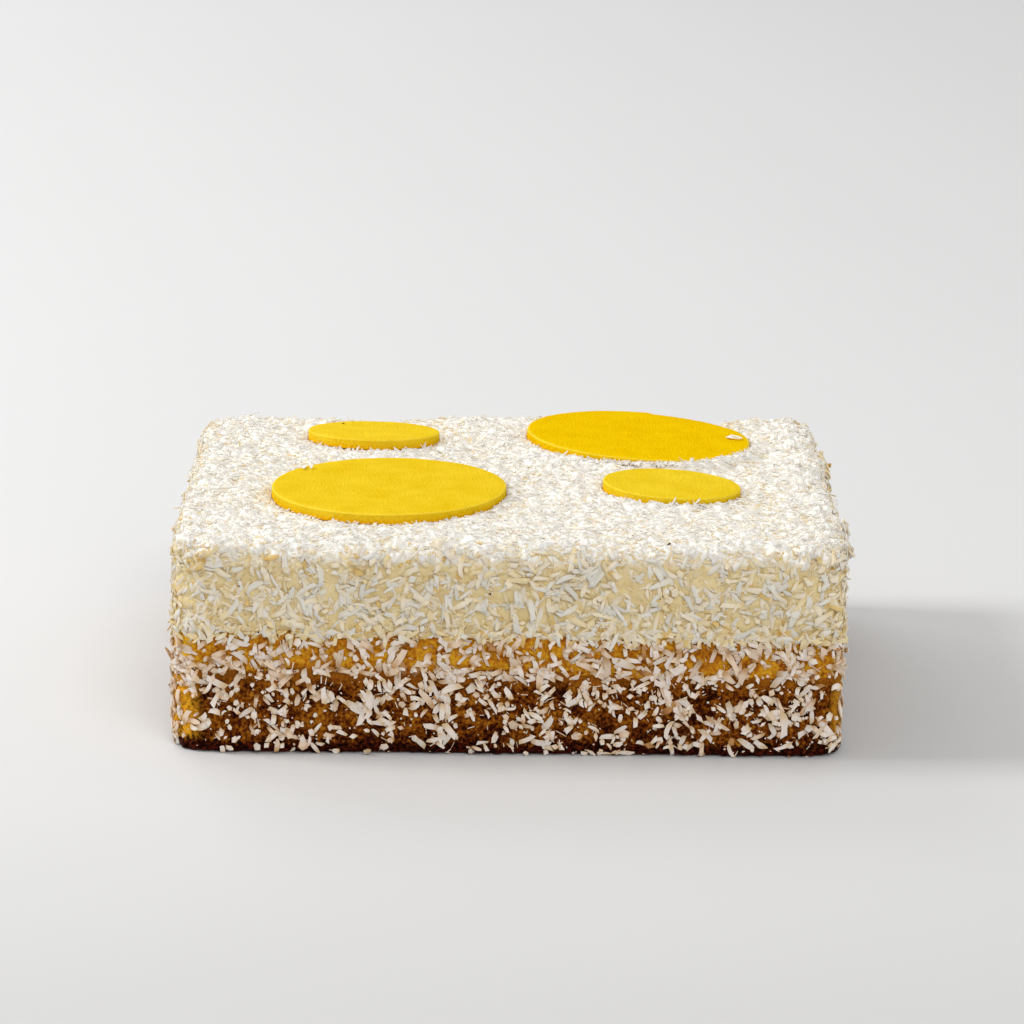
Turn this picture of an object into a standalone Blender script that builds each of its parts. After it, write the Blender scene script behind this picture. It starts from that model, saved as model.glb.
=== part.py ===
"""Coconut mango cake: sponge, mango jelly and coconut cream, with four mango discs on top.

Metres, +Z up. The origin is the middle of the footprint, on the surface that the cake
stands on. +X runs along the width and +Y along the depth, away from the front.
"""

import math

import bmesh
import bpy
from mathutils import Euler, Matrix, Vector, noise

# Driving dimensions
CAKE_WIDTH = 0.1595
CAKE_DEPTH = 0.1332
SPONGE_HEIGHT = 0.0208
JELLY_TOP = 0.0285
CAKE_TOP = 0.0508
LAYER_GAP = 0.0003

# Plan corners and rims, each a number of flat steps round its arc
CORNER_RADIUS = 0.0080
CORNER_STEPS = 5
CREAM_RIM_RADIUS = 0.0045
RIM_STEPS = 4
SPONGE_FOOT_RADIUS = 0.0018
CREAM_FOOT_RADIUS = 0.0009
FOOT_STEPS = 2
BASE_INSET = 0.0002  # the two lower layers stand in from the cream by this much

# Hand-made unevenness
FRONT_SKEW = 0.0175  # how far the front runs out towards its right end, for each metre of width
LAYER_FALL = 0.0010  # how much lower the upper layers lie at the right than at the left
SEAM_WAVE = 0.0004
TOP_WAVE = 0.0004
SIDE_WAVE = 0.0006
WAVE_LENGTH = 0.030

# Lattice of cuts that lets a flat slab follow the waves
COLUMNS = 18
ROWS = 15
LEVEL_STEP = 0.0055

# Discs
DISC_THICKNESS = 0.0027
DISC_TOP = 0.0540
DISC_RIM_RADIUS = 0.00035
BED_MARGIN = 0.0045  # the cream follows a disc's underside this far beyond its rim
BED_BLEND = 0.0065
BED_GAP = 0.0006
LARGE_RADIUS = 0.0288
SMALL_RADIUS = 0.0170
# Centre in plan, radius, and the fall in degrees towards +X and towards +Y
DISCS = {
    "mango_disc_large_left": (-0.0293, -0.0182, LARGE_RADIUS, 0.0, 0.0),
    "mango_disc_large_right": (0.0340, 0.0367, LARGE_RADIUS, 3.2, 0.9),
    "mango_disc_small_left": (-0.0345, 0.0403, SMALL_RADIUS, 1.2, 5.0),
    "mango_disc_small_right": (0.0403, -0.0151, SMALL_RADIUS, 3.2, 1.6),
}

# Base colour, roughness and subsurface share of each material
MATERIALS = {
    "sponge": ((0.42, 0.20, 0.045), 0.80, 0.10),
    "mango_jelly": ((0.72, 0.36, 0.045), 0.35, 0.25),
    "coconut_cream": ((0.86, 0.80, 0.62), 0.60, 0.20),
    "mango_disc": ((0.90, 0.60, 0.03), 0.42, 0.15),
}


def clear_scene():
    for obj in list(bpy.data.objects):
        bpy.data.objects.remove(obj, do_unlink=True)


def make_collection(name):
    collection = bpy.data.collections.new(name)
    bpy.context.scene.collection.children.link(collection)
    return collection


def make_material(name):
    colour, roughness, subsurface = MATERIALS[name]
    material = bpy.data.materials.new(name)
    material.use_nodes = True
    shader = material.node_tree.nodes["Principled BSDF"]
    shader.inputs["Base Color"].default_value = (*colour, 1.0)
    shader.inputs["Roughness"].default_value = roughness
    shader.inputs["Metallic"].default_value = 0.0
    shader.inputs["Subsurface Weight"].default_value = subsurface
    shader.inputs["Subsurface Scale"].default_value = 0.002
    return material


def smooth_step(share):
    share = min(1.0, max(0.0, share))
    return share * share * (3.0 - 2.0 * share)


def wave(x, y, seed):
    """A gentle swell from -1 to 1 over the plan, different for each seed."""
    return noise.noise(Vector((x / WAVE_LENGTH, y / WAVE_LENGTH, seed)))


def disc_slopes(name):
    """Rise in z for each metre along +X and along +Y."""
    fall_x, fall_y = DISCS[name][3:]
    return -math.tan(math.radians(fall_x)), -math.tan(math.radians(fall_y))


def disc_underside(name, x, y):
    centre_x, centre_y = DISCS[name][:2]
    slope_x, slope_y = disc_slopes(name)
    middle = DISC_TOP - DISC_THICKNESS
    return middle + slope_x * (x - centre_x) + slope_y * (y - centre_y)


def layer_fall(x):
    return -LAYER_FALL * x / CAKE_WIDTH


def ground(x, y):
    return 0.0


def sponge_top(x, y):
    return SPONGE_HEIGHT + layer_fall(x) + SEAM_WAVE * wave(x, y, 1.5)


def jelly_bottom(x, y):
    return sponge_top(x, y) + LAYER_GAP


def jelly_top(x, y):
    return JELLY_TOP + layer_fall(x) + SEAM_WAVE * wave(x, y, 7.5)


def cream_bottom(x, y):
    return jelly_top(x, y) + LAYER_GAP


def cream_top(x, y):
    """The swelling top, which lies flat against the underside of each disc."""
    height = CAKE_TOP + TOP_WAVE * wave(x, y, 13.5)
    for name, (centre_x, centre_y, radius, _, _) in DISCS.items():
        beyond = math.hypot(x - centre_x, y - centre_y) - radius - BED_MARGIN
        share = 1.0 - smooth_step(beyond / BED_BLEND)
        bed = disc_underside(name, x, y) - BED_GAP
        height = height * (1.0 - share) + bed * share
    return height


def outward_share(x, y, half_width, half_depth):
    """1 at the sides, falling quickly to 0 towards the middle."""
    return min(1.0, max(abs(x) / half_width, abs(y) / half_depth)) ** 8


def is_upright(edge):
    a, b = (v.co for v in edge.verts)
    return abs(a.z - b.z) > 0.9 * (a - b).length


def rim_edges(bm, height):
    """The edges between the flat face at this height and the sides."""
    return [e for e in bm.edges if all(abs(v.co.z - height) < 1e-6 for v in e.verts)]


def cut_lattice(bm, half_width, half_depth, levels):
    """Cuts straight through the slab, so that every face can follow the waves."""
    reach_x, reach_y = half_width - CORNER_RADIUS, half_depth - CORNER_RADIUS
    cuts = [((1, 0, 0), -reach_x + 2 * reach_x * i / COLUMNS) for i in range(COLUMNS + 1)]
    cuts += [((0, 1, 0), -reach_y + 2 * reach_y * i / ROWS) for i in range(ROWS + 1)]
    cuts += [((0, 0, 1), level) for level in levels]
    for normal, offset in cuts:
        bmesh.ops.bisect_plane(
            bm,
            geom=bm.verts[:] + bm.edges[:] + bm.faces[:],
            dist=1e-6,
            plane_co=Vector(normal) * offset,
            plane_no=normal,
        )


def slab(name, bottom, top, inset, foot_radius=0.0, rim_radius=0.0):
    """A round-cornered layer between two height functions of the plan."""
    half_width, half_depth = CAKE_WIDTH / 2 - inset, CAKE_DEPTH / 2 - inset
    low, high = bottom(0, 0), top(0, 0)
    bm = bmesh.new()
    bmesh.ops.create_cube(bm, size=1.0)
    bmesh.ops.scale(bm, vec=(2 * half_width, 2 * half_depth, high - low), verts=bm.verts)
    bmesh.ops.translate(bm, vec=(0, 0, (low + high) / 2), verts=bm.verts)

    upright = [e for e in bm.edges if is_upright(e)]
    bevel(bm, upright, CORNER_RADIUS, CORNER_STEPS)
    if foot_radius:
        bevel(bm, rim_edges(bm, low), foot_radius, FOOT_STEPS)
    if rim_radius:
        bevel(bm, rim_edges(bm, high), rim_radius, RIM_STEPS)

    straight_low, straight_high = low + foot_radius, high - rim_radius
    count = max(1, round((straight_high - straight_low) / LEVEL_STEP))
    levels = [straight_low + (straight_high - straight_low) * i / count for i in range(count + 1)]
    cut_lattice(bm, half_width, half_depth, [z for z in levels if low < z < high])

    for vert in bm.verts:
        x, y, z = vert.co
        share = (z - low) / (high - low)
        vert.co.z = bottom(x, y) * (1 - share) + top(x, y) * share
        push = noise.noise_vector(Vector((x, y, z)) / WAVE_LENGTH) * SIDE_WAVE
        outward = outward_share(x, y, half_width, half_depth)
        frontness = 0.5 - y / (2 * half_depth)
        vert.co.x += push.x * outward
        vert.co.y += push.y * outward - FRONT_SKEW * x * frontness
    bmesh.ops.recalc_face_normals(bm, faces=bm.faces)
    return mesh_object(name, bm)


def bevel(bm, edges, radius, steps):
    bmesh.ops.bevel(
        bm,
        geom=edges,
        offset=radius,
        offset_type="OFFSET",
        segments=steps,
        profile=0.5,
        affect="EDGES",
        clamp_overlap=True,
    )


def mango_disc(name):
    """A thin round slice with softened rims, lying at its own slight tilt."""
    centre_x, centre_y, radius, _, _ = DISCS[name]
    bm = bmesh.new()
    bmesh.ops.create_cone(
        bm,
        cap_ends=True,
        segments=64 if radius > 0.02 else 48,
        radius1=radius,
        radius2=radius,
        depth=DISC_THICKNESS,
    )
    rims = [e for e in bm.edges if not is_upright(e)]
    bevel(bm, rims, DISC_RIM_RADIUS, 2)
    slope_x, slope_y = disc_slopes(name)
    tilt = Euler((math.atan(slope_y), -math.atan(slope_x), 0.0)).to_matrix().to_4x4()
    obj = mesh_object(name, bm)
    middle = Vector((centre_x, centre_y, DISC_TOP - DISC_THICKNESS / 2))
    obj.matrix_world = Matrix.Translation(middle) @ tilt
    return obj


def mesh_object(name, bm):
    mesh = bpy.data.meshes.new(name)
    bm.to_mesh(mesh)
    bm.free()
    mesh.shade_smooth()
    mesh.set_sharp_from_angle(angle=math.radians(35))
    return bpy.data.objects.new(name, mesh)


def centre_on_origin(layers):
    """Shifts the layers together, so that the waves leave the footprint centred."""
    corners = [v.co for obj in layers for v in obj.data.vertices]
    for axis in (0, 1):
        values = [c[axis] for c in corners]
        shift = Vector((0, 0, 0))
        shift[axis] = -(min(values) + max(values)) / 2
        for obj in layers:
            obj.data.transform(Matrix.Translation(shift))


def main():
    clear_scene()
    cake = make_collection("coconut_mango_cake")
    layers = [
        slab("sponge", ground, sponge_top, BASE_INSET, SPONGE_FOOT_RADIUS),
        slab("mango_jelly", jelly_bottom, jelly_top, BASE_INSET),
        slab("coconut_cream", cream_bottom, cream_top, 0.0, CREAM_FOOT_RADIUS, CREAM_RIM_RADIUS),
    ]
    centre_on_origin(layers)
    for obj in layers:
        obj.data.materials.append(make_material(obj.name))
        cake.objects.link(obj)
    yellow = make_material("mango_disc")
    for name in DISCS:
        disc = mango_disc(name)
        disc.data.materials.append(yellow)
        cake.objects.link(disc)


main()
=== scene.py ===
# Coconut mango cake: the finish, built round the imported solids. Metres, +Z up.
import math

import bmesh
import bpy
import numpy as np
from mathutils import Matrix, Vector, noise


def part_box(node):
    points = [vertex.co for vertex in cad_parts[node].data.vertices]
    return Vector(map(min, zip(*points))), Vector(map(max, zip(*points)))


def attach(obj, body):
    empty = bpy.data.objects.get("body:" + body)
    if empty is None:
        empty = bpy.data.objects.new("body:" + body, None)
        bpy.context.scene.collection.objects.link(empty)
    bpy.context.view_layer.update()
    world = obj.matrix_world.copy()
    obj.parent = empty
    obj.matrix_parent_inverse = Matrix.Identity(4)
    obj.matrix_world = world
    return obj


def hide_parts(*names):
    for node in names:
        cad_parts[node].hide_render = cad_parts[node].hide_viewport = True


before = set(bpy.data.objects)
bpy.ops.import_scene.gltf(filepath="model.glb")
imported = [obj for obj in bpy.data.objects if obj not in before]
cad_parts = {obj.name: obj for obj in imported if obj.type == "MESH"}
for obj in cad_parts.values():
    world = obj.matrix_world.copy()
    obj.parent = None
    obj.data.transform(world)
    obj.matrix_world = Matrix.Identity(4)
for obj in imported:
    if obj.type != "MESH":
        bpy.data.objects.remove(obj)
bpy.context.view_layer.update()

mm = 0.001
scene = bpy.context.scene
scene.view_settings.view_transform = "Standard"
scene.cycles.diffuse_bounces = 8  # white coconut passes light on many times

# modelling helpers


def deselectAll():
    if bpy.context.mode != "OBJECT":
        bpy.ops.object.mode_set(mode="OBJECT")
    for piece in bpy.context.selected_objects:
        piece.select_set(False)


def camelName(node):
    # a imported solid's name, as this script writes names
    first, *others = node.split("_")
    return first + "".join(word.capitalize() for word in others)


def takeNew(name):
    # the primitive that was just added, under its own name
    piece = bpy.context.object
    piece.name = name
    piece.data.name = name
    return piece


def makeActive(piece):
    deselectAll()
    piece.select_set(True)
    bpy.context.view_layer.objects.active = piece


def editPiece(piece):
    makeActive(piece)
    bpy.ops.object.mode_set(mode="EDIT")


def leaveEdit():
    bpy.ops.object.mode_set(mode="OBJECT")


def pick(piece, what, test):
    # in edit mode: selects just the verts, edges or faces that pass the test
    bpy.ops.mesh.select_all(action="DESELECT")
    bpy.ops.mesh.select_mode(type={"verts": "VERT", "edges": "EDGE", "faces": "FACE"}[what])
    cage = bmesh.from_edit_mesh(piece.data)
    for part in getattr(cage, what):
        part.select_set(bool(test(part)))
    cage.select_flush_mode()
    bmesh.update_edit_mesh(piece.data)


def middleOf(edge):
    return (edge.verts[0].co + edge.verts[1].co) / 2


def runsAlong(edge, axis):
    step = edge.verts[0].co - edge.verts[1].co
    return abs(step[axis]) > 0.9 * step.length


def addModifier(piece, name, kind, **settings):
    modifier = piece.modifiers.new(name, kind)
    for key, value in settings.items():
        setattr(modifier, key, value)
    return modifier


def applyModifiers(piece):
    makeActive(piece)
    for modifier in list(piece.modifiers):
        bpy.ops.object.modifier_apply(modifier=modifier.name)


def readVectors(source, key, width=3):
    values = np.empty(len(source) * width)
    source.foreach_get(key, values)
    return values.reshape(-1, width)


def unit(vectors):
    return vectors / np.maximum(np.linalg.norm(vectors, axis=-1, keepdims=True), 1e-12)


def smoothStep(share):
    share = np.clip(share, 0, 1)
    return share * share * (3 - 2 * share)


def fade(values, start, end):
    # 0 at start, rising smoothly to 1 at end, which may lie below it
    return smoothStep((values - start) / (end - start))


def clumps(spots, size, seed):
    # a smooth random swell from about -1 to 1, for thick and thin patches
    return np.array([noise.noise(Vector(spot) / size + Vector((seed, 0, 0))) for spot in spots])


# material helpers


def newMaterial(name):
    material = bpy.data.materials.new(name)
    material.use_nodes = True
    tree = material.node_tree
    return material, tree, tree.nodes["Principled BSDF"]


def addNode(tree, kind, column=0, row=0, values=None, **settings):
    node = tree.nodes.new("ShaderNode" + kind)
    node.location = (column * 200 - 1200, 300 - row * 220)
    for key, value in settings.items():
        setattr(node, key, value)
    for key, value in (values or {}).items():
        node.inputs[key].default_value = value
    return node


def wire(tree, *pairs):
    for source, target in pairs:
        tree.links.new(source, target)


def addRamp(tree, column, row, stops, source):
    ramp = addNode(tree, "ValToRGB", column, row)
    steps = ramp.color_ramp.elements
    while len(steps) < len(stops):
        steps.new(0.5)
    for step, (place, colour) in zip(steps, stops):
        step.position = place
        step.color = (*colour, 1) if len(colour) == 3 else (colour[0],) * 3 + (1,)
    wire(tree, (source, ramp.inputs["Fac"]))
    return ramp.outputs["Color"]


def blendColours(tree, column, row, share, first, second, how="MIX"):
    # the sockets of a colour mix: factor 0, colours 6 and 7, result 2
    mix = addNode(tree, "Mix", column, row, data_type="RGBA", blend_type=how)
    for socket, value in ((mix.inputs[0], share), (mix.inputs[6], first), (mix.inputs[7], second)):
        if isinstance(value, bpy.types.NodeSocket):
            wire(tree, (value, socket))
        elif isinstance(value, tuple):
            socket.default_value = (*value, 1)
        else:
            socket.default_value = value
    return mix.outputs[2]


def addRange(tree, column, row, source, low, high, first=0.0, last=1.0):
    ramp = addNode(
        tree, "MapRange", column, row, {"From Min": low, "From Max": high, "To Min": first, "To Max": last},
        interpolation_type="SMOOTHSTEP",
    )
    wire(tree, (source, ramp.inputs["Value"]))
    return ramp.outputs["Result"]


def addMath(tree, column, row, operation, *values):
    node = addNode(tree, "Math", column, row, operation=operation)
    for socket, value in zip(node.inputs, values):
        if isinstance(value, bpy.types.NodeSocket):
            wire(tree, (value, socket))
        else:
            socket.default_value = value
    return node.outputs[0]


def startGroup(name, inputs, outputs):
    group = bpy.data.node_groups.new(name, "ShaderNodeTree")
    for label, kind, value in inputs:
        socket = group.interface.new_socket(label, in_out="INPUT", socket_type=kind)
        if value is not None:
            socket.default_value = value
    for label, kind in outputs:
        group.interface.new_socket(label, in_out="OUTPUT", socket_type=kind)
    return group, group.nodes.new("NodeGroupInput"), group.nodes.new("NodeGroupOutput")


def placeGroup(tree, group, column, row, values=None):
    node = addNode(tree, "Group", column, row)
    node.node_tree = group
    for key, value in (values or {}).items():
        node.inputs[key].default_value = value
    return node


def makeMottleGroup():
    # soft uneven patches with a finer mottle in them, as a mask from 0 to 1
    group, given, made = startGroup(
        "softMottle",
        [("Place", "NodeSocketVector", None), ("Patch Scale", "NodeSocketFloat", 90.0),
         ("Grain Scale", "NodeSocketFloat", 600.0), ("Grain Share", "NodeSocketFloat", 0.4)],
        [("Mask", "NodeSocketFloat"), ("Grain", "NodeSocketFloat")],
    )
    patch = addNode(group, "TexNoise", 1, 0, {"Detail": 3.0, "Roughness": 0.55})
    grain = addNode(group, "TexNoise", 1, 1, {"Detail": 4.0, "Roughness": 0.6})
    blend = addNode(group, "Mix", 3, 0, data_type="FLOAT")
    wire(
        group,
        (given.outputs["Place"], patch.inputs["Vector"]),
        (given.outputs["Place"], grain.inputs["Vector"]),
        (given.outputs["Patch Scale"], patch.inputs["Scale"]),
        (given.outputs["Grain Scale"], grain.inputs["Scale"]),
        (given.outputs["Grain Share"], blend.inputs[0]),
        (patch.outputs["Fac"], blend.inputs[2]),
        (grain.outputs["Fac"], blend.inputs[3]),
        (blend.outputs[0], made.inputs["Mask"]),
        (grain.outputs["Fac"], made.inputs["Grain"]),
    )
    return group


def placeMottle(tree, form):
    return placeGroup(tree, mottleGroup, 1, 0, dict(zip(("Patch Scale", "Grain Scale", "Grain Share"), form)))


# each shade of coconut: where it lies open, and where it sinks into what is below; from packed white
# on the top to soaked brown at the foot, and last the shell
shredShades = [
    ((0.865, 0.84, 0.80), (0.865, 0.825, 0.76)),
    ((0.865, 0.83, 0.755), (0.865, 0.81, 0.69)),
    ((0.925, 0.84, 0.68), (0.88, 0.74, 0.43)),
    ((0.885, 0.765, 0.50), (0.82, 0.64, 0.30)),
    ((0.83, 0.62, 0.26), (0.74, 0.48, 0.13)),
    ((0.93, 0.845, 0.77), (0.80, 0.61, 0.37)),
    ((0.88, 0.72, 0.56), (0.64, 0.38, 0.16)),
    ((0.60, 0.31, 0.11), (0.34, 0.13, 0.03)),
    ((0.06, 0.016, 0.006), (0.03, 0.008, 0.003)),
]
toneCount = 4
cellCount = toneCount * len(shredShades)

fibreForm = {
    "grain": (1.6, 9.0, 3.0),  # how fine they are along, across and through a shred
    "apart": 37.0,  # sets the fibres of each tone apart
    "streaks": (0.3, 0.7),
}
sunkForm = {
    "end": (-0.15, 0.40),  # the sunken end fades out between these places along the shred
    "wander": 0.7,
    "flank": (-0.35, 0.45),  # and the flanks between these heights through it
    "flankShare": 0.9,
}


def makeShredGroup():
    # the colour of one shred: its shade, its own lightness, the fibres along it and its sunken parts
    group, given, made = startGroup(
        "shredTone",
        [("Fibre Depth", "NodeSocketFloat", 0.12), ("Darkest", "NodeSocketFloat", 0.9)],
        [("Colour", "NodeSocketColor"), ("Fibre", "NodeSocketFloat")],
    )
    tone = addNode(group, "Attribute", 0, 0, attribute_name="tone")
    shade = addNode(group, "Attribute", 0, 1, attribute_name="shade")
    place = addNode(group, "Attribute", 0, 2, attribute_name="shredPlace")
    ramps = []
    for row in (0, 1):
        stops = [(index / len(shredShades), pair[row]) for index, pair in enumerate(shredShades)]
        ramps.append(addRamp(group, 2, row + 1, stops, shade.outputs["Fac"]))
        ramps[row].node.color_ramp.interpolation = "CONSTANT"
    lightness = addNode(group, "MapRange", 2, 0)
    stretch = addNode(group, "VectorMath", 1, 2, operation="MULTIPLY")
    stretch.inputs[1].default_value = fibreForm["grain"]
    shift = addMath(group, 1, 3, "MULTIPLY", tone.outputs["Fac"], fibreForm["apart"])
    fibre = addNode(group, "TexNoise", 2, 4, {"Scale": 1.0, "Detail": 2.0}, noise_dimensions="4D")
    faint, clear = fibreForm["streaks"]
    streak = addNode(group, "MapRange", 3, 4, {"From Min": faint, "From Max": clear})
    depth = addMath(group, 4, 2, "MULTIPLY", streak.outputs["Result"], given.outputs["Fibre Depth"])
    rest = addMath(group, 5, 2, "SUBTRACT", 1.0, depth)
    strength = addMath(group, 6, 1, "MULTIPLY", rest, lightness.outputs["Result"])
    shaded = addNode(group, "VectorMath", 8, 0, operation="SCALE")
    axes = addNode(group, "SeparateXYZ", 1, 5)
    wire(group, (place.outputs["Vector"], axes.inputs[0]), (place.outputs["Vector"], stretch.inputs[0]))
    uneven = addMath(group, 3, 5, "MULTIPLY_ADD", fibre.outputs["Fac"], sunkForm["wander"], axes.outputs["X"])
    sunkEnd = addRange(group, 4, 5, uneven, *sunkForm["end"], 1.0, 0.0)
    sunkFlank = addRange(group, 4, 6, axes.outputs["Z"], *sunkForm["flank"], sunkForm["flankShare"], 0.0)
    sunk = addMath(group, 5, 6, "MAXIMUM", sunkEnd, sunkFlank)
    base = blendColours(group, 7, 1, sunk, ramps[0], ramps[1])
    wire(
        group,
        (tone.outputs["Fac"], lightness.inputs["Value"]),
        (given.outputs["Darkest"], lightness.inputs["To Min"]),
        (stretch.outputs[0], fibre.inputs["Vector"]),
        (shift, fibre.inputs["W"]),
        (fibre.outputs["Fac"], streak.inputs["Value"]),
        (base, shaded.inputs[0]),
        (strength, shaded.inputs["Scale"]),
        (shaded.outputs[0], made.inputs["Colour"]),
        (fibre.outputs["Fac"], made.inputs["Fibre"]),
    )
    return group


mottleGroup = makeMottleGroup()
shredGroup = makeShredGroup()


def settle(piece, slotName, material, *nodes):
    # gives a finished piece its material and its body, and hides the nodes it stands for
    piece.data.materials.clear()
    piece.data.materials.append(material)
    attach(piece, "root")
    if nodes:
        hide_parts(*nodes)


# camera, light and floor

cameraForm = {
    "spot": (-0.00787, -0.97203, 0.29293),
    "turn": 0.528,  # degrees to the right of straight ahead
    "dip": 14.439,  # degrees below level
    "roll": 0.381,
    "lens": 140.7,
}

# each lamp: where it hangs, what it points at, its two sides, power and colour
lightForm = {
    "leftWindow": {
        "spot": (-1.45, 0.10, 1.15), "aim": (0, 0, 0.02), "size": (0.55, 0.7), "power": 20,
        "colour": (1, 0.99, 0.98),
    },
    "frontFill": {
        "spot": (0.25, -1.75, 0.95), "aim": (0, 0, 0.02), "size": (1.2, 1.0), "power": 7.6,
        "colour": (1, 1, 1),
    },
    "overhead": {
        "spot": (0.10, 0.10, 1.60), "aim": (0.05, 0, 0), "size": (1.3, 1.3), "power": 0.8,
        "colour": (1, 1, 1),
    },
    "frontTop": {
        "spot": (0.45, -1.15, 1.35), "aim": (0, 0, 0.02), "size": (0.8, 0.7), "power": 6.2,
        "colour": (1, 0.99, 0.98),
    },
    "backWash": {
        "spot": (-1.1, 1.7, 1.3), "aim": (-0.3, 0.8, 0), "size": (1.6, 1.0), "power": 14,
        "colour": (1, 1, 1),
    },
}

floorForm = {
    "below": 0.02 * mm,  # just clear of the cake's underside
    "flatRadius": 2.3,
    "riseRadius": 0.9,
    "steps": 8,
    "reach": (-0.30, 1.50),  # the painted light, darker in front and paler towards the back, runs along the depth between these two places
    "paleness": [
        (0.0, (0.60, 0.60, 0.598)), (0.04, (0.612, 0.612, 0.61)), (0.11, (0.685, 0.685, 0.685)),
        (0.22, (0.73, 0.73, 0.73)), (0.45, (0.75, 0.75, 0.75)), (0.90, (0.785, 0.785, 0.785)),
    ],
    "mottle": (3.0, 60.0, 0.2),  # scales of the patches and of the grain, and the grain's share
    "cloudy": [(0.3, (0.985,)), (0.7, (1.0,))],
    "roughness": 0.6,
    "gloss": 0.2,
}
skyForm = {"colour": (1.0, 1.0, 1.0), "strength": 0.46}


def makeCamera():
    data = bpy.data.cameras.new("camera")
    camera = bpy.data.objects.new("camera", data)
    scene.collection.objects.link(camera)
    data.sensor_width = 36
    data.lens = cameraForm["lens"]
    data.clip_start = 0.05
    data.clip_end = 20
    turn = Matrix.Rotation(-math.radians(cameraForm["turn"]), 4, "Z")
    dip = Matrix.Rotation(math.radians(90 - cameraForm["dip"]), 4, "X")
    roll = Matrix.Rotation(math.radians(cameraForm["roll"]), 4, "Z")
    camera.matrix_world = Matrix.Translation(cameraForm["spot"]) @ turn @ dip @ roll
    scene.camera = camera


def makeLights():
    for name, form in lightForm.items():
        data = bpy.data.lights.new(name, "AREA")
        data.shape = "RECTANGLE"
        data.size, data.size_y = form["size"]
        data.energy = form["power"]
        data.color = form["colour"]
        light = bpy.data.objects.new(name, data)
        scene.collection.objects.link(light)
        light.location = form["spot"]
        aim = Vector(form["aim"]) - Vector(form["spot"])
        light.rotation_euler = aim.to_track_quat("-Z", "Y").to_euler()
        light.visible_camera = False
    world = bpy.data.worlds.new("softSky")
    world.use_nodes = True
    sky = world.node_tree.nodes["Background"]
    sky.inputs["Color"].default_value = (*skyForm["colour"], 1)
    sky.inputs["Strength"].default_value = skyForm["strength"]
    scene.world = world


def makeFloor():
    # a wide plate whose rim sweeps up all round
    deselectAll()
    bpy.ops.mesh.primitive_circle_add(
        vertices=96, radius=floorForm["flatRadius"], location=(0, 0, -floorForm["below"])
    )
    floor = takeNew("studioFloor")
    bpy.ops.object.transform_apply(location=True, rotation=True, scale=True)
    editPiece(floor)
    pick(floor, "edges", lambda edge: True)
    radius, height = floorForm["flatRadius"], 0.0
    for step in range(1, floorForm["steps"] + 1):
        angle = math.pi / 2 * step / floorForm["steps"]
        nextRadius = floorForm["flatRadius"] + floorForm["riseRadius"] * math.sin(angle)
        nextHeight = floorForm["riseRadius"] * (1 - math.cos(angle))
        bpy.ops.mesh.extrude_region_move(TRANSFORM_OT_translate={"value": (0, 0, nextHeight - height)})
        share = nextRadius / radius
        bpy.ops.transform.resize(value=(share, share, 1), center_override=(0, 0, 0))
        radius, height = nextRadius, nextHeight
    pick(floor, "edges", lambda edge: middleOf(edge).z < 0)
    bpy.ops.mesh.edge_face_add()
    leaveEdit()
    bpy.ops.object.shade_smooth()
    floor.data.materials.append(makeFloorMaterial())


# painted light: the floor is painted darker near the front and paler towards the back, where the lamps' light
# falls off; the cloudy patches are its own
def makeFloorMaterial():
    material, tree, shader = newMaterial("paleFloor")
    place = addNode(tree, "TexCoord", 0, 0)
    mottle = placeMottle(tree, floorForm["mottle"])
    split = addNode(tree, "SeparateXYZ", 1, 1)
    nearest, furthest = floorForm["reach"]
    back = addNode(tree, "MapRange", 2, 1, {"From Min": nearest, "From Max": furthest})
    paleness = addRamp(tree, 3, 1, floorForm["paleness"], back.outputs["Result"])
    cloudy = addRamp(tree, 3, 0, floorForm["cloudy"], mottle.outputs["Mask"])
    wire(
        tree,
        (place.outputs["Object"], mottle.inputs["Place"]),
        (place.outputs["Object"], split.inputs[0]),
        (split.outputs["Y"], back.inputs["Value"]),
        (blendColours(tree, 4, 0, 1.0, paleness, cloudy, "MULTIPLY"), shader.inputs["Base Color"]),
    )
    shader.inputs["Roughness"].default_value = floorForm["roughness"]
    shader.inputs["Specular IOR Level"].default_value = floorForm["gloss"]
    return material


makeCamera()
makeLights()
makeFloor()
print("camera, light and floor are ready")

# where the discs lie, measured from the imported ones

discNames = sorted(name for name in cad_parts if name.startswith("mango_disc"))


def measureDisc(node):
    # centre, upward axis, radius and thickness
    places = readVectors(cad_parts[node].data.vertices, "co")
    centre = (places.min(0) + places.max(0)) / 2
    offsets = places - centre
    axis = np.linalg.eigh(offsets.T @ offsets)[1][:, 0]
    axis = axis * np.sign(axis[2])
    heights = offsets @ axis
    radius = np.linalg.norm(offsets - np.outer(heights, axis), axis=1).max()
    return {"centre": centre, "axis": axis, "radius": radius, "thickness": np.ptp(heights)}


discs = {name: measureDisc(name) for name in discNames}


def beyondDiscs(places):
    # distance in plan from each place to the nearest disc's rim, negative under a disc
    gaps = [np.hypot(*(places[:, :2] - d["centre"][:2]).T) - d["radius"] for d in discs.values()]
    return np.min(gaps, axis=0)


# the three layers

layerForm = {
    "wraps": 5,  # an odd number, so that there is a middle one
    "cornerRadius": 8.0 * mm,
    "cornerSteps": 8,
    "rimSteps": 4,
    "hiddenShare": 0.05,  # how many of the faces that no one sees are kept
}

# reliefs: kind of texture, its grain and its depth
spongeForm = {
    "voxel": 0.58 * mm,
    "foot": 1.8 * mm,
    "rim": 0.4 * mm,
    "spread": 0.0,
    "reliefs": {
        "swell": ("CLOUDS", 8.0 * mm, 0.8 * mm),
        "crumb": ("CLOUDS", 2.2 * mm, 1.0 * mm),
        "pore": ("VORONOI", 1.6 * mm, 0.6 * mm),
    },
    "footLumps": {"lump": ("CLOUDS", 2.6 * mm, 2.0 * mm)},  # burnt lumps along the foot
}

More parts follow.
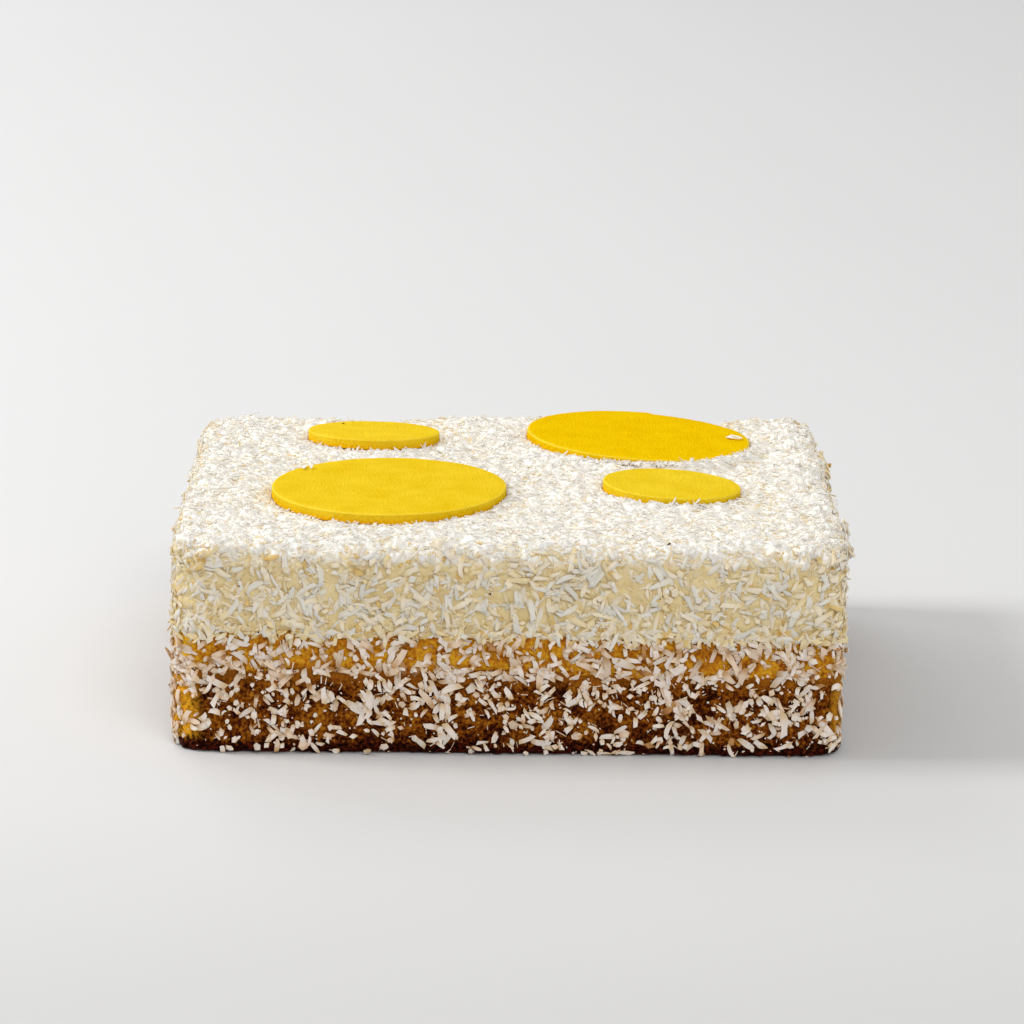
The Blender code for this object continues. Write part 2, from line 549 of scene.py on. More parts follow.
jellyForm = {
    "voxel": 0.65 * mm,
    "foot": 0.3 * mm,
    "rim": 0.3 * mm,
    "spread": 1.3 * mm,  # how far it laps into the layers below and above, which makes ragged seams
    "reliefs": {
        "swell": ("CLOUDS", 6.0 * mm, 0.9 * mm),
        "lump": ("CLOUDS", 2.2 * mm, 0.8 * mm),
    },
}

creamForm = {
    "voxel": 0.8 * mm,
    "foot": 0.9 * mm,
    "rim": 4.5 * mm,
    "spread": 0.0,
    "rise": 0.7 * mm,  # packed coconut that stands on the cream between the discs
    "rimReach": (1.5 * mm, 5.5 * mm),  # it falls or rises to the banks between these distances from a rim
    "riseReach": (-0.15 * mm, 0.65 * mm),
    "bankLift": 0.5 * mm,  # the slab fills the banks up to this much above their even height
    "seamWave": 2.2 * mm,  # how far the lower edge wanders up and down
    "seamWaveLength": 8 * mm,
    "seamReach": (5.0 * mm, 1.5 * mm),  # and how high above it this is felt, and is full
    "tuft": 0.95 * mm,  # depth and grain of the clumps that the coconut packs into
    "tuftGrain": 2.6 * mm,
    "tuftRise": 0.25,  # of their depth, so that they stand out more than they sink in
    "tuftReach": (44 * mm, 49 * mm),  # they begin between these heights
    "tuftClear": (0.3 * mm, 1.8 * mm),  # and between these distances from a rim
    "roughEnd": (66 * mm, 76 * mm),  # the right end is the roughest, from here to here
    "roughEndShare": 1.6,
    "heap": ((62 * mm, 57 * mm), 9 * mm, 1.0 * mm),  # a heap at one corner: place, reach, height
    "reliefs": {
        "swell": ("CLOUDS", 9.0 * mm, 0.9 * mm),
        "lump": ("CLOUDS", 2.4 * mm, 0.9 * mm),
        "flake": ("CLOUDS", 1.1 * mm, 0.35 * mm),
    },
}


def makeLayer(name, node, form, looseShare):
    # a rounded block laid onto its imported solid, then roughened where looseShare is above 0
    low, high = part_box(node)
    deselectAll()
    bpy.ops.mesh.primitive_cube_add(size=1, location=(low + high) / 2, scale=high - low)
    piece = takeNew(name)
    bpy.ops.object.transform_apply(location=True, rotation=True, scale=True)
    editPiece(piece)
    pick(piece, "edges", lambda edge: runsAlong(edge, 2))
    bpy.ops.mesh.bevel(offset=layerForm["cornerRadius"], segments=layerForm["cornerSteps"], affect="EDGES")
    for height, radius in ((low.z, form["foot"]), (high.z, form["rim"])):
        pick(piece, "edges", lambda edge: all(abs(v.co.z - height) < 1e-6 for v in edge.verts))
        bpy.ops.mesh.bevel(offset=radius, segments=layerForm["rimSteps"], affect="EDGES")
    leaveEdit()
    addModifier(piece, "evenMesh", "REMESH", mode="VOXEL", voxel_size=form["voxel"])
    applyModifiers(piece)
    layOnto(piece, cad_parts[node])
    if form["spread"]:
        editPiece(piece)
        pick(piece, "verts", lambda vert: True)
        taller = 1 + 2 * form["spread"] / (high.z - low.z)
        bpy.ops.transform.resize(value=(1, 1, taller), center_override=(low + high) / 2)
        leaveEdit()
    roughen(piece, form["reliefs"], looseShare)
    return piece


def layOnto(piece, solid):
    # now and then a wrap places a few corners up to a thousandth of a millimetre differently, from which
    # the thinning would merge other faces, so each corner goes to the middle of where several wraps put it
    start = readVectors(piece.data.vertices, "co")
    wraps = []
    for _ in range(layerForm["wraps"]):
        movePlaces(piece, lambda places, facing: start)
        addModifier(piece, "ontoSolid", "SHRINKWRAP", target=solid, wrap_method="NEAREST_SURFACEPOINT")
        applyModifiers(piece)
        wraps.append(readVectors(piece.data.vertices, "co"))
    movePlaces(piece, lambda places, facing: np.median(wraps, axis=0))


def roughen(piece, reliefs, looseShare):
    piece.vertex_groups.clear()
    group = piece.vertex_groups.new(name="loose")
    places = readVectors(piece.data.vertices, "co")
    facing = readVectors(piece.data.vertex_normals, "vector")
    shares = np.round(looseShare(places, facing), 2)
    for level in np.unique(shares):
        group.add(np.flatnonzero(shares == level).tolist(), float(level), "REPLACE")
    for label, (kind, grain, depth) in reliefs.items():
        texture = bpy.data.textures.new(piece.name + label.capitalize(), kind)
        texture.noise_scale = grain
        addModifier(
            piece, label, "DISPLACE", texture=texture, texture_coords="LOCAL",
            strength=depth, mid_level=0.5, vertex_group="loose",
        )
    applyModifiers(piece)


def movePlaces(piece, change):
    # change takes the places and the normals, and gives the new places
    places = readVectors(piece.data.vertices, "co")
    places = change(places, readVectors(piece.data.vertex_normals, "vector"))
    piece.data.vertices.foreach_set("co", places.ravel())
    piece.data.update()


def thinHidden(piece, test):
    # merges the small faces that other layers, discs or the table cover
    editPiece(piece)
    pick(piece, "faces", test)
    bpy.ops.mesh.decimate(ratio=layerForm["hiddenShare"])
    leaveEdit()


def tuftiness(places):
    # above 0 on the clumps that coconut packs into, below 0 in the valleys between them
    return clumps(places, creamForm["tuftGrain"], 11) + 0.5 * clumps(places, creamForm["tuftGrain"] / 2, 12)


def sideShare(places, facing):
    return fade(np.abs(facing[:, 2]), 0.9, 0.6)


def creamShare(places, facing):
    # the sides and the top, but not the beds under the discs nor the underside
    bare = fade(beyondDiscs(places), -1.0 * mm, 1.0 * mm)
    return np.where(facing[:, 2] > 0.5, bare, fade(facing[:, 2], -0.85, -0.55))


def aboveTable(places, facing):
    return np.column_stack([places[:, :2], np.maximum(places[:, 2], 0)])


# coconut banked against the discs: its lowest height above a disc's underside, how much higher it
# gets, and the direction in degrees in which it is highest
bankForm = {
    "mango_disc_large_left": (-0.25 * mm, 0.9 * mm, 5),
    "mango_disc_large_right": (0.1 * mm, 2.3 * mm, -50),
    "mango_disc_small_left": (-0.4 * mm, 0.4 * mm, 0),
    "mango_disc_small_right": (0, 1.2 * mm, -65),
}


def bankHeight(node, angle):
    low, swing, towards = bankForm[node]
    return low + swing * (0.5 + 0.5 * np.cos(angle - np.radians(towards))) ** 2


def raisedTop(places, facing):
    # packed coconut on the open parts of the top, its banks against the discs and its clumps
    form = creamForm
    near, far = form["rimReach"]
    rise = np.full(len(places), form["rise"])
    for node, disc in discs.items():
        step = places[:, :2] - disc["centre"][:2]
        share = fade(np.hypot(*step.T) - disc["radius"], far, near)
        bank = bankHeight(node, np.arctan2(step[:, 1], step[:, 0])) + form["bankLift"]
        rise = rise * (1 - share) + bank * share
    spot, reach, height = form["heap"]
    rise = rise + height * fade(np.hypot(places[:, 0] - spot[0], places[:, 1] - spot[1]), reach, 0)
    beyond = beyondDiscs(places)
    upward = rise * fade(beyond, *form["riseReach"]) * fade(facing[:, 2], 0, 0.8)
    upper = fade(places[:, 2], *form["tuftReach"]) * fade(beyond, *form["tuftClear"])
    rougher = 1 + form["roughEndShare"] * fade(places[:, 0], *form["roughEnd"])
    tufts = form["tuft"] * (form["tuftRise"] + tuftiness(places)) * upper * rougher
    waves = form["seamWave"] * clumps(places * [1, 1, 0], form["seamWaveLength"], 31)
    upward = upward + waves * fade(places[:, 2] - places[:, 2].min(), *form["seamReach"])
    return places + facing * tufts[:, None] + np.outer(upward, (0, 0, 1))


def footShare(places, facing):
    return sideShare(places, facing) * fade(places[:, 2], 5.0 * mm, 2.0 * mm)


def isSpongeCap(face):
    # its top and its underside, which no one sees, but not level faces of its rough sides
    return abs(face.normal.z) > 0.9 and not 2 * mm < face.calc_center_median().z < 18 * mm


sponge = makeLayer("spongeCrumb", "sponge", spongeForm, sideShare)
roughen(sponge, spongeForm["footLumps"], footShare)
movePlaces(sponge, aboveTable)
thinHidden(sponge, isSpongeCap)
jelly = makeLayer("mangoJellyBand", "mango_jelly", jellyForm, sideShare)
thinHidden(jelly, lambda face: abs(face.normal.z) > 0.9)
cream = makeLayer("coconutCreamSlab", "coconut_cream", creamForm, creamShare)
movePlaces(cream, raisedTop)
thinHidden(cream, lambda face: face.normal.z < -0.9)
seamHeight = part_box("coconut_cream")[0].z
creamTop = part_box("coconut_cream")[1].z - 1.6 * mm  # the box reaches higher than the open top, up to a disc
print("layers", [len(p.data.polygons) for p in (sponge, jelly, cream)])

# looks of the layers

# bump: strength and depth; glow: how much light goes in, how far each colour of it goes, and the unit
spongeLook = {
    "mottle": (170.0, 1100.0, 0.6),
    "crumb": [
        (0.40, (0.016, 0.002, 0.0005)),
        (0.47, (0.085, 0.015, 0.001)),
        (0.55, (0.25, 0.070, 0.004)),
        (0.66, (0.50, 0.21, 0.014)),
    ],
    # painted light: the pale gold of the upright corners, where the lamp from the left lights them
    "corner": (0.85, 0.40, 0.02),
    "crust": [(0.42, (0.006, 0.001, 0.0005)), (0.62, (0.09, 0.010, 0.002))],
    "crustTop": 3.2 * mm,
    "crustBlend": 1.0 * mm,
    "seam": (0.33, 0.105, 0.007),  # jelly drawn down into the sponge's top
    "seamDepths": (6.1 * mm, 1.0 * mm),
    "seamShare": 0.9,
    "wave": 8.0 * mm,  # how far these two edges wander
    "bump": (1.0, 0.6 * mm),
    "roughness": 0.5,
    "gloss": 0.03,
    "glow": (0.15, (1.0, 0.45, 0.10), 1.0 * mm),
}

jellyLook = {
    "mottle": (230.0, 1100.0, 0.55),
    "amber": [(0.38, (0.26, 0.065, 0.003)), (0.48, (0.50, 0.185, 0.007)), (0.60, (0.72, 0.38, 0.02))],
    # painted light: the pale gold of the upright corners, where the lamp from the left lights them
    "corner": (0.92, 0.52, 0.03),
    "bump": (0.8, 0.5 * mm),
    "roughness": 0.3,
    "gloss": 0.06,
    "glow": (0.25, (1.0, 0.5, 0.08), 1.2 * mm),
}

creamLook = {
    "mottle": (110.0, 620.0, 0.5),
    "side": [(0.32, (0.69, 0.525, 0.24)), (0.68, (0.81, 0.67, 0.37))],
    "top": (0.93, 0.91, 0.85),
    "topDepths": (5.5 * mm, 2.2 * mm),  # the side turns white between these depths under the top
    "soak": (0.62, 0.33, 0.035),  # jelly drawn up into the cream's foot
    "soakDepth": 1.4 * mm,
    "soakShare": 0.85,
    "wave": 9.0 * mm,
    "stain": (0.72, 0.38, 0.04),
    "stainShare": 0.8,
    # place and radius of each amber stain, in millimetres
    "stains": [
        ((36.6, -66.3, 36.5), 1.9), ((37.6, -66.3, 48.0), 2.2), ((-73.4, -65.5, 47.0), 2.6),
        ((-71.0, -65.5, 50.6), 2.2), ((-56.2, -66.0, 48.0), 2.0), ((-12.0, -66.5, 44.0), 1.6),
    ],
    "bump": (0.5, 0.3 * mm),
    "roughness": 0.55,
    "gloss": 0.5,
    "glow": (0.15, (1.0, 0.8, 0.45), 1.0 * mm),
}

# painted light: the upright corners of sponge and jelly are painted paler than the faces, most of all at the
# left, where the lamp from the left lights them and glows through
litCornerForm = {
    "left": (-76.5 * mm, -72.0 * mm),
    "right": (75.5 * mm, 78.5 * mm),
    "rightShare": 0.6,
    "ends": (48.0 * mm, 61.0 * mm),  # away from the front and the back it fades between these
    "endShare": 0.2,
    "patches": (0.36, 0.52),
    "patchShare": 0.25,
}


def startLook(name, look):
    # a material with its place, its place along each axis and its mottle
    material, tree, _ = newMaterial(name)
    place = addNode(tree, "TexCoord", 0, 0).outputs["Object"]
    mottle = placeMottle(tree, look["mottle"])
    axes = addNode(tree, "SeparateXYZ", 1, 2)
    wire(tree, (place, mottle.inputs["Place"]), (place, axes.inputs[0]))
    return material, tree, place, axes.outputs, mottle.outputs


def addBump(tree, shader, height, strength, depth):
    bump = addNode(tree, "Bump", 9, 3, {"Strength": strength, "Distance": depth})
    wire(tree, (height, bump.inputs["Height"]), (bump.outputs["Normal"], shader.inputs["Normal"]))


def finishLook(tree, look, colour, grain):
    shader = tree.nodes["Principled BSDF"]
    wire(tree, (colour, shader.inputs["Base Color"]))
    addBump(tree, shader, grain, *look["bump"])
    shader.inputs["Roughness"].default_value = look["roughness"]
    shader.inputs["Specular IOR Level"].default_value = look["gloss"]
    share, reaches, scale = look["glow"]
    shader.inputs["Subsurface Weight"].default_value = share
    shader.inputs["Subsurface Radius"].default_value = reaches
    shader.inputs["Subsurface Scale"].default_value = scale


# painted light: a mask that paints the upright corners paler, strongest at the left, where the lamp stands
def addLitCornerShare(tree, axes, mask):
    form = litCornerForm
    left = addRange(tree, 3, 2, axes["X"], *form["left"], 1.0, 0.0)
    right = addRange(tree, 3, 3, axes["X"], *form["right"], 0.0, form["rightShare"])
    fromMiddle = addMath(tree, 2, 6, "ABSOLUTE", axes["Y"])
    ends = addRange(tree, 3, 6, fromMiddle, *form["ends"], form["endShare"], 1.0)
    corners = addMath(tree, 4, 6, "MULTIPLY", addMath(tree, 4, 2, "MAXIMUM", left, right), ends)
    patchy = addRange(tree, 4, 3, mask, *form["patches"], form["patchShare"], 1.0)
    return addMath(tree, 5, 2, "MULTIPLY", corners, patchy)


def makeSpongeMaterial():
    look = spongeLook
    material, tree, _, axes, mottle = startLook("bakedSponge", look)
    crumb = addRamp(tree, 3, 0, look["crumb"], mottle["Mask"])
    litCorners = blendColours(tree, 6, 0, addLitCornerShare(tree, axes, mottle["Mask"]), crumb, look["corner"])
    # the mask lifts this height by half the wave on average
    wavyHeight = addMath(tree, 3, 4, "MULTIPLY_ADD", mottle["Mask"], look["wave"], axes["Z"])
    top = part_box("sponge")[1].z + look["wave"] / 2
    seamEdges = [top - depth for depth in look["seamDepths"]]
    seamShare = addRange(tree, 4, 4, wavyHeight, *seamEdges, 0.0, look["seamShare"])
    seamed = blendColours(tree, 7, 0, seamShare, litCorners, look["seam"])
    crustTop = look["crustTop"] + look["wave"] / 2
    crustEdges = (crustTop - look["crustBlend"], crustTop + look["crustBlend"])
    crustShare = addRange(tree, 4, 5, wavyHeight, *crustEdges, 1.0, 0.0)
    crust = addRamp(tree, 3, 1, look["crust"], mottle["Grain"])
    crusted = blendColours(tree, 8, 0, crustShare, seamed, crust)
    finishLook(tree, look, crusted, mottle["Grain"])
    return material


def makeJellyMaterial():
    look = jellyLook
    material, tree, _, axes, mottle = startLook("mangoJelly", look)
    amber = addRamp(tree, 3, 0, look["amber"], mottle["Mask"])
    colour = blendColours(tree, 6, 0, addLitCornerShare(tree, axes, mottle["Mask"]), amber, look["corner"])
    finishLook(tree, look, colour, mottle["Grain"])
    return material


def makeCreamMaterial():
    look = creamLook
    material, tree, place, axes, mottle = startLook("coconutCream", look)
    side = addRamp(tree, 3, 0, look["side"], mottle["Mask"])
    stainShare = 0.0
    for row, (spot, radius) in enumerate(look["stains"], 4):
        reach = addNode(tree, "VectorMath", 2, row, operation="DISTANCE")
        reach.inputs[1].default_value = Vector(spot) * mm
        wire(tree, (place, reach.inputs[0]))
        edges = (0.3 * radius * mm, radius * mm)
        near = addRange(tree, 3, row, reach.outputs["Value"], *edges, look["stainShare"], 0.0)
        stainShare = addMath(tree, 4, row, "MAXIMUM", near, stainShare)
    wavyHeight = addMath(tree, 2, 3, "MULTIPLY_ADD", mottle["Mask"], look["wave"], axes["Z"])
    foot = seamHeight + look["wave"] / 2
    soakShare = addRange(tree, 3, 3, wavyHeight, foot, foot + look["soakDepth"], look["soakShare"], 0.0)
    soaked = blendColours(tree, 4, 0, soakShare, side, look["soak"])
    stained = blendColours(tree, 5, 0, stainShare, soaked, look["stain"])
    whiteShare = addRange(tree, 3, 2, axes["Z"], *(creamTop - depth for depth in look["topDepths"]))
    white = blendColours(tree, 6, 0, whiteShare, stained, look["top"])
    finishLook(tree, look, white, mottle["Grain"])
    return material


settle(sponge, "sponge", makeSpongeMaterial(), "sponge")
settle(jelly, "mango_jelly", makeJellyMaterial(), "mango_jelly")
settle(cream, "coconut_cream", makeCreamMaterial(), "coconut_cream")

# mango discs

discForm = {
    "sides": 144,
    "rings": 12,
    "rimRadius": 0.35 * mm,
    "rimSteps": 4,
    "notches": {"mango_disc_large_right": (80, 20, 0.045)},  # start and end in degrees, share of the radius
    "reliefs": {
        "wave": ("CLOUDS", 7.0 * mm, 0.18 * mm),
        "dimple": ("CLOUDS", 1.8 * mm, 0.12 * mm),
    },
}

discColours = {
    "mango_disc_large_left": (0.90, 0.60, 0.016),
    "mango_disc_large_right": (0.93, 0.565, 0.0015),
    "mango_disc_small_left": (0.935, 0.625, 0.02),
    "mango_disc_small_right": (0.93, 0.635, 0.019),
}

discLook = {
    "mottle": (110.0, 1500.0, 0.45),
    "patches": [(0.36, (0.94, 0.90, 0.5)), (0.64, (1.05, 1.08, 1.6))],  # the disc's colour, times these
    # painted shade: the lower part of each disc's side is painted deeper orange, as if in shadow at the
    # coconut
    "side": (1.0, 0.50, 0.002),
    "sideReach": (0.05, 0.65),  # shares of the thickness, from the bottom
    "sideShare": 0.8,
    # painted highlight: a paler line along the upper edge of the rim, where the bevel catches the light
    "rim": (1.0, 0.73, 0.06),
    "rimReach": (0.80, 0.96),
    "rimShare": 0.75,
    "outermost": (0.975, 0.995),  # shares of the radius
    "bump": (1.0, 0.7 * mm),
    "roughness": 0.45,
    "gloss": 0.0,
    "glow": (0.2, (1.0, 0.6, 0.05), 1.0 * mm),
}


def notched(places, notch):
    # draws the outline in from one angle, abruptly, and lets it out again towards the other
    start, end, depth = notch
    angle = np.degrees(np.arctan2(places[:, 1], places[:, 0]))
    share = np.where((angle < start) & (angle > end), fade(angle, end, (start + end) / 2), 0)
    return places * np.column_stack([1 - depth * share, 1 - depth * share, np.ones(len(places))])


def makeDisc(node):
    disc = discs[node]
    radius, thickness = disc["radius"], disc["thickness"]
    deselectAll()
    bpy.ops.mesh.primitive_cylinder_add(
        vertices=discForm["sides"], radius=radius, depth=thickness, end_fill_type="NGON"
    )
    piece = takeNew(camelName(node))
    editPiece(piece)
    pick(piece, "edges", lambda edge: not runsAlong(edge, 2))
    bpy.ops.mesh.bevel(offset=discForm["rimRadius"], segments=discForm["rimSteps"], affect="EDGES")
    pick(piece, "faces", lambda face: abs(face.normal.z) > 0.99 and face.calc_area() > radius**2)
    for _ in range(discForm["rings"]):
        bpy.ops.mesh.inset(thickness=radius / (discForm["rings"] + 1))
    bpy.ops.mesh.poke()
    pick(piece, "edges", lambda edge: runsAlong(edge, 2) and abs(middleOf(edge).z) < 1e-6)
    bpy.ops.mesh.subdivide(number_cuts=2)
    leaveEdit()
    if node in discForm["notches"]:
        movePlaces(piece, lambda places, facing: notched(places, discForm["notches"][node]))
    # each point's place on its own disc: share of the radius, share of the height
    places = readVectors(piece.data.vertices, "co")
    outward = np.hypot(places[:, 0], places[:, 1]) / radius
    shares = np.column_stack([outward, places[:, 2] / thickness + 0.5, np.zeros(len(places))])
    discPlace = piece.data.attributes.new("discPlace", "FLOAT_VECTOR", "POINT")
    discPlace.data.foreach_set("vector", shares.ravel())
    roughen(piece, discForm["reliefs"], lambda places, facing: np.ones(len(places)))
    piece.rotation_mode = "QUATERNION"
    piece.rotation_quaternion = Vector((0, 0, 1)).rotation_difference(Vector(disc["axis"]))
    piece.location = disc["centre"]
    bpy.ops.object.transform_apply(location=True, rotation=True, scale=True)
    bpy.ops.object.shade_smooth_by_angle(angle=math.radians(40))
    return piece


def makeDiscMaterial(node):
    look = discLook
    material, tree, _, _, mottle = startLook(camelName(node) + "Skin", look)
    own = Vector(discColours[node])
    patches = [(stop, tuple(own * Vector(times))) for stop, times in look["patches"]]
    colour = addRamp(tree, 3, 0, patches, mottle["Mask"])
    discPlace = addNode(tree, "Attribute", 0, 2, attribute_name="discPlace")
    shares = addNode(tree, "SeparateXYZ", 1, 3)
    wire(tree, (discPlace.outputs["Vector"], shares.inputs[0]))
    outermost = addRange(tree, 2, 3, shares.outputs["X"], *look["outermost"])
    upper = addRange(tree, 2, 4, shares.outputs["Y"], *look["rimReach"])
    lower = addRange(tree, 2, 5, shares.outputs["Y"], *look["sideReach"], look["sideShare"], 0.0)
    # painted shade low on the side, and a painted highlight along the upper edge of the rim
    sideShadeShare = addMath(tree, 3, 4, "MULTIPLY", outermost, lower)
    highlightShare = addMath(tree, 3, 3, "MULTIPLY", outermost, upper)
    highlightShare = addMath(tree, 4, 3, "MULTIPLY", highlightShare, look["rimShare"])
    sideShaded = blendColours(tree, 5, 0, sideShadeShare, colour, look["side"])
    highlighted = blendColours(tree, 6, 0, highlightShare, sideShaded, look["rim"])
    finishLook(tree, look, highlighted, mottle["Grain"])
    return material


for node in discNames:
    settle(makeDisc(node), "mango_disc", makeDiscMaterial(node), node)
print("discs", len(discNames))

# coconut: the single shapes

# sections along a shred of unit length: place, width, thickness, drift to the side; then how far the cut
# of each end runs back from one edge to the other
stripShapes = {
    "plank": (
        ((-0.5, 0.92, 0.8, 0.0), (-0.17, 1.0, 1.0, 0.0), (0.17, 0.95, 1.0, -0.02), (0.5, 0.85, 0.8, 0.0)),
        (0.05, -0.06),
    ),
    "blade": (
        ((-0.5, 0.8, 0.9, -0.03), (-0.17, 1.0, 1.0, 0.0), (0.17, 0.9, 0.9, 0.03), (0.5, 0.5, 0.7, 0.06)),
        (-0.08, 0.03),
    ),
    "leaf": (
        ((-0.5, 0.6, 0.7, 0.05), (-0.17, 1.0, 1.0, -0.02), (0.17, 1.05, 1.0, -0.04), (0.5, 0.65, 0.7, 0.03)),
        (0.07, -0.06),
    ),
    "wedge": (
        ((-0.5, 0.6, 0.8, 0.05), (-0.17, 0.8, 1.0, 0.02), (0.17, 1.0, 1.0, 0.0), (0.5, 1.2, 0.8, 0.0)),
        (0.06, 0.10),
    ),
    "bent": (
        ((-0.5, 0.8, 0.8, 0.12), (-0.17, 1.0, 1.0, -0.04), (0.17, 0.95, 1.0, -0.05), (0.5, 0.75, 0.8, 0.12)),
        (-0.07, 0.06),
    ),
    "broken": (
        ((-0.5, 0.9, 0.9, -0.1), (-0.17, 1.15, 1.0, 0.0), (0.17, 0.8, 0.9, 0.08), (0.5, 0.95, 0.8, 0.04)),
        (0.13, -0.09),
    ),
}
flakeShapes = {
    "sliver": (((-0.5, 0.6, 0.7, 0.06), (0.5, 0.45, 0.6, -0.05)), (0.1, -0.1)),
    "block": (((-0.5, 1.0, 0.9, -0.05), (0.5, 0.8, 0.9, 0.04)), (0.12, 0.1)),
    "spike": (((-0.5, 0.95, 1.0, 0.0), (0.5, 0.25, 0.5, 0.12)), (-0.12, 0.0)),
    "slab": (((-0.5, 1.1, 0.7, 0.06), (0.5, 0.9, 0.8, 0.0)), (-0.15, -0.12)),
}
# sides of the outline and the seed of its unevenness
chipShapes = {"fiveSided": (5, 11), "squat": (4, 23), "fourSided": (4, 5), "shard": (5, 42)}
crumbShapes = {"grit": (3, 3), "grain": (4, 8), "dust": (3, 15), "grist": (4, 21)}
needleShapes = {"thorn": 0.3, "stick": 0.7}  # how thick the thin end is
shapeForm = {
    "unevenness": 0.2,
    "chipTop": 0.86,  # a chip is a little smaller on top
    "needleRadius": 0.58,
    "crumbDepth": 0.85,
    "mapMargin": 0.05,
}


def takeShape(piece):
    # keeps a modelled shape as plain numbers and removes the model
    bpy.ops.mesh.select_mode(type="FACE")
    bpy.ops.mesh.select_all(action="SELECT")
    bpy.ops.mesh.normals_make_consistent(inside=False)
    bpy.ops.uv.smart_project(angle_limit=math.radians(50), island_margin=0.03, scale_to_bounds=True)
    leaveEdit()
    bpy.ops.object.transform_apply(location=True, rotation=True, scale=True)
    mesh = piece.data
    shape = {
        "places": readVectors(mesh.vertices, "co"),
        "starts": readWhole(mesh.polygons, "loop_start"),
        "corners": readWhole(mesh.loops, "vertex_index"),
        "map": readVectors(mesh.uv_layers.active.data, "uv", 2),
        "triangles": sum(len(face.vertices) - 2 for face in mesh.polygons),
    }
    bpy.data.objects.remove(piece)
    return shape


def readWhole(source, key):
    values = np.empty(len(source), np.int32)
    source.foreach_get(key, values)
    return values


def modelStrip(name, sections, cuts):
    deselectAll()
    bpy.ops.mesh.primitive_cube_add(size=1)
    piece = takeNew(name)
    editPiece(piece)
    if len(sections) > 2:
        pick(piece, "edges", lambda edge: runsAlong(edge, 0))
        bpy.ops.mesh.subdivide(number_cuts=len(sections) - 2)
    evenPlaces = np.linspace(-0.5, 0.5, len(sections))
    for even, (place, width, thickness, drift) in zip(evenPlaces, sections):
        pick(piece, "verts", lambda vert: abs(vert.co.x - even) < 0.01)
        bpy.ops.transform.resize(value=(1, width, thickness), center_override=(even, 0, 0))
        bpy.ops.transform.translate(value=(place - even, drift, 0))
    for end, section, cut in ((-0.5, sections[0], cuts[0]), (0.5, sections[-1], cuts[1])):
        for side in (-1, 1):
            pick(piece, "verts", lambda vert: end * vert.co.x > 0.2 and side * (vert.co.y - section[3]) > 0)
            bpy.ops.transform.translate(value=(side * cut, 0, 0))
    return takeShape(piece)


def modelChip(name, sides, seed):
    deselectAll()
    bpy.ops.mesh.primitive_circle_add(vertices=sides, radius=0.5, fill_type="NGON")
    piece = takeNew(name)
    editPiece(piece)
    pick(piece, "faces", lambda face: True)
    bpy.ops.transform.vertex_random(offset=shapeForm["unevenness"], seed=seed)
    bpy.ops.transform.resize(value=(1, 1, 0), center_override=(0, 0, 0))
    bpy.ops.transform.translate(value=(0, 0, -0.5))
    bpy.ops.mesh.extrude_region_move(TRANSFORM_OT_translate={"value": (0, 0, 1)})
    smaller = shapeForm["chipTop"]
    bpy.ops.transform.resize(value=(smaller, smaller, 1), center_override=(0.03, 0, 0.5))
    return takeShape(piece)


def modelNeedle(name, taper):
    deselectAll()
    bpy.ops.mesh.primitive_cylinder_add(
        vertices=3, radius=shapeForm["needleRadius"], depth=1, rotation=(0, math.pi / 2, 0)
    )
    piece = takeNew(name)
    editPiece(piece)
    pick(piece, "faces", lambda face: len(face.verts) == 3 and face.calc_center_median().z > 0)
    bpy.ops.transform.resize(value=(taper, taper, 1), center_override=(0, 0, 0.5))
    return takeShape(piece)


def modelCrumb(name, sides, seed):
    deselectAll()
    bpy.ops.mesh.primitive_cylinder_add(vertices=sides, radius=0.5, depth=shapeForm["crumbDepth"])
    piece = takeNew(name)
    editPiece(piece)
    pick(piece, "verts", lambda vert: True)
    bpy.ops.transform.vertex_random(offset=shapeForm["unevenness"], seed=seed)
    return takeShape(piece)


strips = [modelStrip(name, *form) for name, form in stripShapes.items()]
flakes = [modelStrip(name, *form) for name, form in flakeShapes.items()]
chips = [modelChip(name, *form) for name, form in chipShapes.items()]
needles = [modelNeedle(name, taper) for name, taper in needleShapes.items()]
crumbs = [modelCrumb(name, *form) for name, form in crumbShapes.items()]
allShapes = (strips, flakes, chips, needles, crumbs)
print("coconut shapes", [[shape["triangles"] for shape in shapes] for shapes in allShapes])

# coconut: laying it on

layingForm = {
    "clearance": 0.1 * mm,  # between the shreds and the discs
    "tableClearance": 0.05 * mm,
    "standingLeans": (25, 70),  # degrees of the few that stand up
    "widths": (0.65, 1.35),  # shares of the usual width and thickness
    "thicknesses": (0.7, 1.3),
    "widest": 0.85,  # share of the length
    "piling": 1.2,  # above 1, more of them lie deep in the pile
    "tones": (2.2, 1.3),  # more pale ones than dark ones
}


def softFacing(mesh, rounds=6):
    # normals averaged over their neighbours, so that shreds lie on the form and not on its grain
    facing = readVectors(mesh.vertex_normals, "vector")
    ends = np.empty(len(mesh.edges) * 2, np.int32)
    mesh.edges.foreach_get("vertices", ends)
    a, b = ends.reshape(-1, 2).T
    for _ in range(rounds):
        total = facing.copy()
        for axis in range(3):
            total[:, axis] += np.bincount(a, facing[b, axis], len(facing))
            total[:, axis] += np.bincount(b, facing[a, axis], len(facing))
        facing = unit(total)
    return facing


